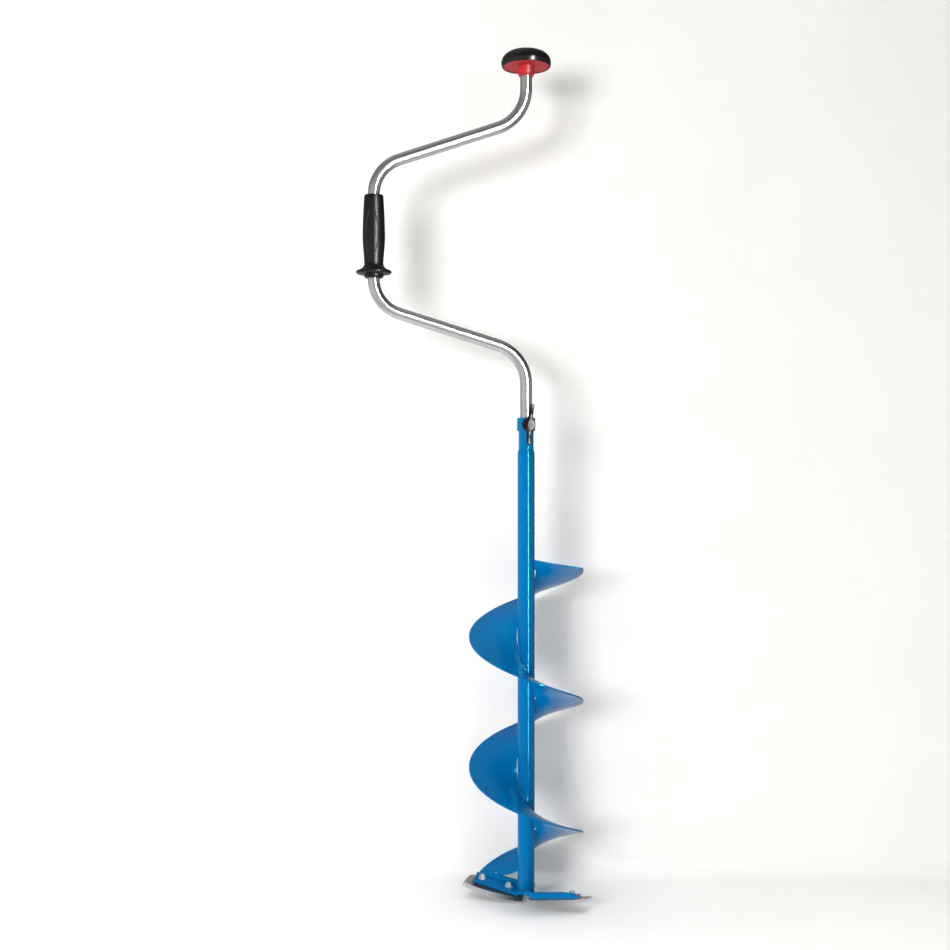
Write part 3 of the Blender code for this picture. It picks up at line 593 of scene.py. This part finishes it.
def blade(side, matrix):
    """A blade with its ground bevel as a separate surface."""
    edge = curve_through([(x, y, 0.0) for x, y in BLADE_EDGE], 8)
    back = [Vector((x, y, 0.0)) for x, y in BLADE_BACK]
    count = len(edge)
    bm = bmesh.new()
    sharp = [bm.verts.new(p) for p in edge]
    land = [bm.verts.new(p + Vector((0.0, -0.0001, 0.00035))) for p in edge]
    shoulder = []
    for i, p in enumerate(edge):
        inset = 0.001 if i == 0 else (-0.0005 if i == count - 1 else 0.0)
        shoulder.append(bm.verts.new(p + Vector((inset, -BLADE_BEVEL, BLADE_THICKNESS))))
    low = [bm.verts.new(p) for p in back]
    high = [bm.verts.new(p + Vector((0.0, 0.0, BLADE_THICKNESS))) for p in back]
    bevel = []
    for row, upper in ((sharp, land), (land, shoulder)):
        for i in range(count - 1):
            bevel.append(bm.faces.new((row[i], row[i + 1], upper[i + 1], upper[i])))
    bm.faces.new(list(reversed(sharp + low)))
    bm.faces.new(shoulder + high)
    for i in range(len(back) - 1):
        bm.faces.new((low[i], low[i + 1], high[i + 1], high[i]))
    bm.faces.new((sharp[-1], low[0], high[0], shoulder[-1], land[-1]))
    bm.faces.new((low[-1], sharp[0], land[0], shoulder[0], high[-1]))
    for face in bevel:
        face.material_index = 1
    made = keep(bm, f"cutting_blade_{side}", "auger", BLADE, (f"blade_{side}",), 12, matrix)
    made.data.materials.append(GROUND)
    soften(made, 0.00015, 2, 25)


def flange_stations(matrix):
    """The upturned flange's route past the tube and along the plate: place, bottom and top."""
    wall = HOLDER_THICKNESS / 2
    under = BLADE_THICKNESS + GAP
    inward = matrix @ Vector((FLANGE_TOP[0][0], HOLDER_OUTLINE[3][1], under))
    outer = matrix @ Vector((FLANGE_TOP[-1][0], HOLDER_OUTLINE[2][1], under))
    along = (outer - inward).xy.normalized()
    forward = Vector((-along.y, along.x)) * wall
    side = 1.0 if outer.x > 0 else -1.0
    front = -side * (TUBE_RADIUS + wall)
    bottom, top = FLANGE_AT_TUBE
    start = Vector((-side * 0.0145, front))
    leave = Vector((-side * 0.0035, front))
    reach = inward.xy + forward
    stations = [(start, bottom, top - 0.0008), (leave, bottom, top)]
    for step in range(1, 16):
        share = step / 16
        ease = smooth(share)
        place = Vector((leave.x + (reach.x - leave.x) * share, leave.y + (reach.y - leave.y) * ease))
        stations.append((place, bottom + (inward.z - bottom) * ease, top + (FLANGE_TOP[0][1] - top) * ease))
    end = outer.xy + forward
    for step in range(13):
        share = step / 12
        out = FLANGE_TOP[0][0] + (FLANGE_TOP[-1][0] - FLANGE_TOP[0][0]) * share
        low = inward.z + (outer.z - inward.z) * share
        stations.append((reach.lerp(end, share), low, between(FLANGE_TOP, out)))
    return stations


def holder(side, matrix):
    """The pressed plate: a tilted pad with a flange that turns up along its back."""
    bm = bmesh.new()
    low = BLADE_THICKNESS + GAP
    outline = [matrix @ Vector((x, y, low)) for x, y in HOLDER_OUTLINE]
    lift = (matrix.to_3x3() @ Vector((0.0, 0.0, 1.0))) * HOLDER_THICKNESS
    face = bm.faces.new([bm.verts.new(p) for p in outline])
    grown = bmesh.ops.extrude_face_region(bm, geom=[face])["geom"]
    bmesh.ops.translate(bm, verts=[g for g in grown if isinstance(g, bmesh.types.BMVert)], vec=lift)
    rings = []
    stations = flange_stations(matrix)
    for i, (place, bottom, top) in enumerate(stations):
        before = stations[max(i - 1, 0)][0]
        after = stations[min(i + 1, len(stations) - 1)][0]
        along = (after - before).normalized()
        across = Vector((-along.y, along.x)) * (HOLDER_THICKNESS / 2)
        corners = [(-1.0, bottom), (1.0, bottom), (1.0, top), (-1.0, top)]
        rings.append([bm.verts.new((*(place + across * k), z)) for k, z in corners])
    bridge(bm, rings)
    close_ends(bm, rings)
    made = keep(bm, f"pressed_holder_{side}", "auger", BLUE, (f"blade_holder_{side}",), 60)
    melt(made, 0.00045, 7)


def melt(made, voxel, rounds):
    """Fuses overlapping forms into one skin with soft, filleted edges."""
    mesh = made.modifiers.new("fuse", "REMESH")
    mesh.mode = "VOXEL"
    mesh.voxel_size = voxel
    mesh.use_smooth_shade = True
    ease = made.modifiers.new("ease", "SMOOTH")
    ease.factor = 0.5
    ease.iterations = rounds


def flange_nut(name, low, matrix):
    """An M5 flange nut from rings: kind 0 is round, 1 a hexagon, 2 a circle cut to the hexagon."""
    bm = bmesh.new()
    sides = 48
    rings = []
    layers = (
        (low, 0.0057, 0), (low + 0.0002, 0.0059, 0), (low + 0.0006, 0.0059, 0),
        (low + 0.0012, 0.0049, 0), (low + 0.0017, 0.0, 1), (low + 0.0041, 0.0, 1),
        (low + 0.0046, 0.0044, 2), (low + 0.0050, 0.0040, 2), (low + 0.0050, 0.0030, 2),
        (low + 0.0046, 0.0026, 2), (low, 0.0026, 2),
    )
    for z, radius, kind in layers:
        ring = []
        for k in range(sides):
            angle = math.tau * k / sides
            local = (angle + math.pi / 6) % (math.pi / 3) - math.pi / 6
            hexed = NUT_APOTHEM / math.cos(local)
            r = hexed if kind == 1 else (min(hexed, radius) if kind == 2 and radius > 0.0035 else radius)
            ring.append(bm.verts.new((r * math.cos(angle), r * math.sin(angle), z)))
        rings.append(ring)
    bridge(bm, rings + rings[:1])
    keep(bm, f"flange_{name}", "auger", ZINC, (name,), 28, matrix)


def blade_screw(name, matrix, top):
    """A countersunk M5 screw with a ridged thread."""
    thread = 0.0008
    profile = [(0.0, 0.0001), (0.0043, 0.0001), (0.0046, 0.0004), (0.0025, 0.0022)]
    z = 0.0030
    while z < top - thread:
        profile += [(0.0025, z), (0.0022, z + thread / 2)]
        z += thread
    profile += [(0.0024, top - 0.0004), (0.0020, top), (0.0, top)]
    keep(revolve(profile, 32), f"threaded_{name}", "auger", ZINC, (name,), 50, matrix)


def cutting_head():
    """Two blades, holders and pairs of screws, half a turn apart, and their welds."""
    right = head_matrix()
    seat = BLADE_THICKNESS + HOLDER_THICKNESS + 2 * GAP
    for side, matrix in (("right", right), ("left", Matrix.Rotation(math.pi, 4, "Z") @ right)):
        blade(side, matrix)
        holder(side, matrix)
        for label, (x, y) in zip(("inner", "outer"), SCREW_PLACES):
            here = matrix @ Matrix.Translation((x, y, 0.0))
            blade_screw(f"blade_screw_{side}_{label}", here, seat + SCREW_LENGTH)
            turn = Matrix.Rotation(math.radians(14 if label == "inner" else 41), 4, "Z")
            flange_nut(f"nut_{side}_{label}", seat, here @ turn)
        stations = flange_stations(matrix)
        seam = [Vector((*place, top - 0.0002)) for place, _, top in stations[:9]]
        sign = 1.0 if side == "right" else -1.0
        seam = [Vector((v.x * 0.97, v.y + sign * 0.0022, v.z)) for v in seam]
        bead(f"holder_weld_{side}", curve_through(seam, 4), 0.0011)
    left = flange_stations(Matrix.Rotation(math.pi, 4, "Z") @ right)
    top_seam = [Vector((*place, top + 0.0003)) for place, _, top in left[-9:]]
    bead("flight_foot_weld", [p + Vector((0.0, 0.0008, 0.0)) for p in curve_through(top_seam, 5)], 0.0010)


# ---------------------------------------------------------------- crank, grip and knob


def crank_path():
    """The centre line's points (x, z) and headings, with each bend as an arc."""
    corners = (
        ((0.0, CRANK_BOTTOM), 0.0), ((0.0, LOWER_ARM_Z), BEND_AT_AXIS),
        ((-CRANK_THROW, LOWER_ARM_Z + ARM_DROP), BEND_AT_GRIP),
        ((-CRANK_THROW, UPPER_ARM_Z - ARM_DROP), BEND_AT_GRIP),
        ((0.0, UPPER_ARM_Z), BEND_AT_AXIS), ((0.0, CRANK_TOP), 0.0),
    )
    steps = 28
    path = [(Vector(corners[0][0]), Vector((0.0, 1.0)))]
    for i in range(1, len(corners) - 1):
        corner, radius = Vector(corners[i][0]), corners[i][1]
        come = (corner - Vector(corners[i - 1][0])).normalized()
        go = (Vector(corners[i + 1][0]) - corner).normalized()
        turn = come.angle_signed(go)
        start = corner - come * radius * math.tan(abs(turn) / 2)
        side = Vector((-come.y, come.x)) * (-1.0 if turn > 0 else 1.0)
        centre = start + side * radius
        for step in range(steps + 1):
            spin = Matrix.Rotation(-turn * step / steps, 2)
            path.append((centre + spin @ (start - centre), spin @ come))
    path.append((Vector(corners[-1][0]), Vector((0.0, 1.0))))
    return path


def unroll_crank(bm, path, skins, sides):
    """A UV map whose U runs along the tube and V around it, for the drawn grain's direction."""
    along_scale = 18
    reach = [0.0]
    for (a, _), (b, _) in zip(path, path[1:]):
        reach.append(reach[-1] + (b - a).length)
    layer = bm.loops.layers.uv.new("along")
    index = {v: i for i, v in enumerate(v for rings in skins for ring in rings for v in ring)}
    for face in bm.faces:
        spots = [index[loop.vert] % (len(path) * sides) for loop in face.loops]
        wraps = max(p % sides for p in spots) - min(p % sides for p in spots) > 1
        for loop, spot in zip(face.loops, spots):
            turn = spot % sides
            turn += sides if wraps and turn == 0 else 0
            loop[layer].uv = (reach[spot // sides] * along_scale, turn / sides)


def crank():
    """The bent tube, with its inner and outer skin."""
    sides = 64
    path = crank_path()
    bm = bmesh.new()
    skins = []
    for radius in (CRANK_RADIUS, CRANK_BORE):
        rings = []
        for place, heading in path:
            across = Vector((-heading.y, heading.x))
            ring = []
            for k in range(sides):
                angle = math.tau * k / sides
                offset = across * radius * math.cos(angle)
                ring.append(bm.verts.new((place.x + offset.x, radius * math.sin(angle), place.y + offset.y)))
            rings.append(ring)
        skins.append(rings)
        bridge(bm, rings)
    for end in (0, -1):
        bridge(bm, (skins[0][end], skins[1][end]))
    unroll_crank(bm, path, skins, sides)
    keep(bm, "bent_crank", "crank", TUBE, ("crank_tube",), 50)


def grip_outline():
    """Outside of the grip from its bottom ring to its top rim."""
    low, flange, waist, belly, top = GRIP_BOTTOM, 0.9420, 0.9540, 0.9956, GRIP_TOP
    points = [(0.0118, low), (0.0132, low + 0.0004), (0.0145, low + 0.0018), (0.0149, low + 0.0040)]
    points += [(0.0153, flange - 0.0036), (0.0172, flange - 0.0029), (0.0205, flange - 0.0027)]
    points += arc((0.0243, flange), 0.0027, -90, 75, 8)
    for share in (0.12, 0.25, 0.4, 0.55, 0.7, 0.85, 1.0):
        z = flange + 0.0030 + (waist - flange - 0.0030) * share
        points.append((0.0146 + 0.0079 * (1 - share) ** 1.8, z))
    for i in range(1, 9):
        share = i / 8
        points.append((0.0146 + 0.0025 * smooth(share), waist + (belly - waist) * share))
    for i in range(1, 10):
        share = i / 9
        points.append((0.0171 - 0.0025 * share**1.6, belly + (top - 0.0020 - belly) * share))
    points += arc((0.0146 - 0.0020, top - 0.0020), 0.0020, 15, 90, 5)
    return points


def hand_grip():
    """The sleeve that turns on the crank, with a plain oval rib on its front."""
    points = grip_outline()
    profile = [(RUNNING_BORE, GRIP_BOTTOM)] + points
    profile += [(0.0100, GRIP_TOP), (RUNNING_BORE, GRIP_TOP - 0.0006)]
    move = Matrix.Translation((-CRANK_THROW, 0.0, 0.0))
    keep(revolve(profile, 96), "grip_sleeve", "grip", GRIP, ("hand_grip",), 50, move)
    grip_rib(sorted((z, radius) for radius, z in points if z > 0.950), move)


def grip_rib(outline, move):
    """An oval ring that follows the sleeve's surface, given as sorted (height, radius)."""
    middle, half_height, half_width = 1.0005, 0.0355, 0.0100
    sleeve_radius, facing, sunk = 0.0165, math.radians(-98), 0.00012
    count, sides = 96, 10
    path = []
    for i in range(count):
        angle = math.tau * i / count
        z = middle + half_height * math.cos(angle)
        turn = facing + half_width / sleeve_radius * math.sin(angle)
        radius = between(outline, z) - sunk
        path.append(Vector((radius * math.cos(turn), radius * math.sin(turn), z)))
    bm = bmesh.new()
    rings = []
    for i, place in enumerate(path):
        along = (path[(i + 1) % count] - path[i - 1]).normalized()
        out = Vector((place.x, place.y, 0.0)).normalized()
        side = along.cross(out).normalized()
        rings.append([
            bm.verts.new(place + (side * math.cos(a) * 0.0010 + out * math.sin(a) * 0.0007))
            for a in (math.tau * k / sides for k in range(sides))
        ])
    bridge(bm, rings + rings[:1])
    keep(bm, "grip_oval_rib", "grip", GRIP, (), 60, move)


def knob():
    """The domed cap and the disc with its hub, both of them revolved."""
    widest, top, lip = 1.2588, 1.2776, 1.2534
    radius, flat = 0.0378, 0.0130
    profile = [(0.0, top), (0.006, top - 0.00003), (0.0105, top - 0.00012)]
    for step in range(1, 22):
        angle = math.pi / 2 * step / 21
        out = flat + (radius - flat) * math.sin(angle) ** 0.95
        profile.append((out, widest + (top - widest) * math.cos(angle) ** 0.9))
    profile += [(radius - 0.0001, widest - 0.0010), (radius - 0.0006, widest - 0.0026)]
    profile += arc((radius - 0.0022, lip + 0.0012), 0.0012, -10, -90, 5)
    profile += [(0.0352, lip), (0.0349, lip + 0.0005), (0.0349, 1.2585), (0.0300, 1.2660), (0.0, 1.2740)]
    keep(revolve(profile, 128), "knob_dome", "knob", BLACK, ("knob_cap",), 60)
    hub, low, disc, back, web = 0.0131, 1.2394, 1.2542, 1.2582, 1.2579
    profile = [(RUNNING_BORE, low), (0.0104, low), (0.0108, low + 0.0003), (0.0127, low + 0.0036)]
    profile += [(hub, low + 0.0048), (hub, disc - 0.0016)]
    profile += [(0.0134, disc - 0.0007), (0.0141, disc - 0.0001), (0.0150, disc)]
    profile += [(0.0230, disc), (0.0233, disc - 0.0003), (0.0240, disc - 0.0003), (0.0243, disc)]
    profile += [(0.0340, disc), (0.0346, disc + 0.0006), (0.0346, back), (hub, back)]
    profile += [(hub, 1.2615), (0.0044, 1.2615), (0.0044, web), (RUNNING_BORE, web)]
    keep(revolve(profile, 128), "knob_hub", "knob", RED, ("knob_base",), 35)


# ---------------------------------------------------------------- clamp screw


def wing_screw():
    """Washer base, two wings and an oval hub, fused into one moulding."""
    matrix = clamp_matrix() @ Matrix.Rotation(-WING_TILT, 4, "Z")
    base = [(0.0, 0.0165), (0.0095, 0.0165), (0.0105, 0.0173), (0.0105, 0.0193)]
    base += arc((0.0085, 0.0195), 0.0020, 0, 90, 5) + [(0.0, 0.0215)]
    bm = revolve(base, 48)
    sections = [(-up, *rest) for up, *rest in reversed(WING_SECTIONS[1:])] + list(WING_SECTIONS)
    rings = []
    for up, inner, outer, width in sections:
        ring = []
        corner = min(width, outer - inner) * 0.36
        half = width / 2 - corner
        for centre, start in (
            ((half, outer - corner), 0), ((-half, outer - corner), 90),
            ((-half, inner + corner), 180), ((half, inner + corner), 270),
        ):
            ring += [bm.verts.new((x, up, z)) for x, z in arc(centre, corner, start, start + 90, 4)]
        rings.append(ring)
    bridge(bm, rings)
    close_ends(bm, rings)
    hub = [(0.0047 * math.cos(a), 0.0098 * math.sin(a)) for a in (math.tau * k / 40 for k in range(40))]
    stack = []
    for z, scale in ((0.0205, 1.0), (0.0334, 1.0), (0.0340, 0.94)):
        stack.append([bm.verts.new((x * scale, y * scale, z)) for x, y in hub])
    bridge(bm, stack)
    close_ends(bm, stack)
    made = keep(bm, "wing_screw_head", "wing", BLACK, ("wing_knob",), 60, matrix)
    melt(made, 0.00035, 5)


outer_tube()
clamp_collar()
flight()
flight_weld()
cutting_head()
crank()
hand_grip()
knob()
wing_screw()


# ---------------------------------------------------------------- studio


def paper():
    """The sweep's matt paper; its back is clear, so that it never hides the object."""
    s = Shader("studio_paper")
    tone = s.ramp(s.noise(6.0, 3.0), (0.912, 0.90, 0.882), (0.932, 0.92, 0.902))
    s.bump(s.noise(300.0, 3.0), 0.02, 0.001)
    made = s.done(tone, None, Roughness=0.9, Specular_IOR_Level=0.1)
    back = s.tree.nodes.new("ShaderNodeNewGeometry").outputs["Backfacing"]
    clear = s.tree.nodes.new("ShaderNodeBsdfTransparent")
    either = s.tree.nodes.new("ShaderNodeMixShader")
    s.link(back, either.inputs[0])
    s.link(s.bsdf.outputs[0], either.inputs[1])
    s.link(clear.outputs[0], either.inputs[2])
    s.link(either.outputs[0], s.tree.nodes["Material Output"].inputs["Surface"])
    return made


def backdrop():
    """A pale seamless sweep: floor, curve and wall."""
    middle = Vector((SWEEP_WALL - SWEEP_CURVE, SWEEP_FLOOR + SWEEP_CURVE))
    profile = [(-SWEEP_REACH, SWEEP_FLOOR), (middle.x, SWEEP_FLOOR)]
    profile += arc(middle, SWEEP_CURVE, -90, 0, 24)[1:]
    profile.append((SWEEP_WALL, SWEEP_REACH))
    bm = bmesh.new()
    rows = [[bm.verts.new((x, y, z)) for x in (-SWEEP_REACH, SWEEP_REACH)] for y, z in profile]
    for near, far in zip(rows, rows[1:]):
        bm.faces.new((near[0], near[1], far[1], far[0]))
    mesh = bpy.data.meshes.new("studio_sweep")
    bm.to_mesh(mesh)
    bm.free()
    mesh.shade_smooth()
    mesh.materials.append(paper())
    floor = bpy.data.objects.new("studio_sweep", mesh)
    floor.visible_glossy = False
    bpy.context.scene.collection.objects.link(floor)


def light(name, place, target, power, width, height, spread=180):
    """An area light. Only the strip shows in reflections, and that is all it does."""
    data = bpy.data.lights.new(name, "AREA")
    data.shape = "RECTANGLE"
    data.size = width
    data.size_y = height
    data.energy = power
    data.spread = math.radians(spread)
    made = bpy.data.objects.new(name, data)
    made.location = place
    made.visible_glossy = name == "strip_light"
    made.visible_diffuse = name != "strip_light"
    aim = Vector(target) - Vector(place)
    made.rotation_euler = aim.to_track_quat("-Z", "Y").to_euler()
    bpy.context.scene.collection.objects.link(made)


def grey_ramp(tree, value, stops):
    """Maps a value to greys through stops of (place, grey)."""
    made = tree.nodes.new("ShaderNodeValToRGB")
    while len(made.color_ramp.elements) < len(stops):
        made.color_ramp.elements.new(0.5)
    for element, (place, grey) in zip(made.color_ramp.elements, stops):
        element.position = place
        element.color = (grey, grey, grey, 1.0)
    tree.links.new(value, made.inputs["Fac"])
    return made.outputs["Color"]


def blend_colours(tree, kind, factor, a, b):
    made = tree.nodes.new("ShaderNodeMix")
    made.data_type = "RGBA"
    made.blend_type = kind
    if isinstance(factor, float):
        made.inputs[0].default_value = factor
    else:
        tree.links.new(factor, made.inputs[0])
    tree.links.new(a, made.inputs[6])
    tree.links.new(b, made.inputs[7])
    return made.outputs[2]


def sky():
    """A room that is pale below and ahead, darker overhead and past the strip light."""
    world = bpy.data.worlds.new("studio_world")
    world.use_nodes = True
    tree = world.node_tree
    split = tree.nodes.new("ShaderNodeSeparateXYZ")
    tree.links.new(tree.nodes.new("ShaderNodeTexCoord").outputs["Generated"], split.inputs[0])
    shares = {}
    for axis in "XYZ":
        share = tree.nodes.new("ShaderNodeMapRange")
        share.inputs["From Min"].default_value = -1.0
        tree.links.new(split.outputs[axis], share.inputs["Value"])
        shares[axis] = share.outputs["Result"]
    front = grey_ramp(tree, shares["Z"], (
        (0.0, 0.95), (0.14, 0.80), (0.27, 0.30), (0.42, 0.66), (0.50, 0.85), (0.58, 0.62),
        (0.72, 0.12), (0.86, 0.16), (1.0, 0.50),
    ))
    behind = grey_ramp(tree, shares["Z"], (
        (0.0, 0.95), (0.30, 0.70), (0.50, 0.42), (0.62, 0.16), (0.80, 0.20), (1.0, 0.45),
    ))
    back_share = grey_ramp(tree, shares["Y"], ((0.44, 0.0), (0.60, 1.0)))
    side = grey_ramp(tree, shares["X"], (
        (0.0, 1.0), (0.25, 1.0), (0.45, 0.72), (0.66, 0.72), (0.80, 0.28), (0.92, 0.28), (1.0, 0.60),
    ))
    whole = blend_colours(tree, "MIX", back_share, front, behind)
    whole = blend_colours(tree, "MULTIPLY", 1.0, whole, side)
    tree.links.new(whole, tree.nodes["Background"].inputs["Color"])
    bpy.context.scene.world = world


def studio():
    backdrop()
    sky()
    light("key_light", (-1.65, -2.55, 1.25), (0.0, 0.1, 0.62), 68.0, 1.10, 0.95)
    light("fill_light", (1.6, -2.6, 1.3), (0.0, 0.1, 0.62), 7.0, 1.6, 1.6)
    light("strip_light", (0.95, -1.75, 0.75), (0.0, 0.0, 0.68), 130.0, 0.20, 2.2)
    light("floor_light", (0.0, -0.60, 2.7), (0.0, -0.60, 0.0), 4.6, 2.2, 0.5, 44)
    camera = bpy.data.cameras.new("camera")
    camera.lens = 36.0 * 1200.0 / 950.0
    camera.shift_y = -35.0 / 950.0
    camera.clip_start = 0.05
    stand = bpy.data.objects.new("camera", camera)
    stand.location = (-0.0777, -1.824, 0.687)
    stand.rotation_euler = (math.pi / 2, 0.0, 0.0)
    bpy.context.scene.collection.objects.link(stand)
    bpy.context.scene.camera = stand
    bpy.context.scene.view_settings.view_transform = "Standard"


studio()
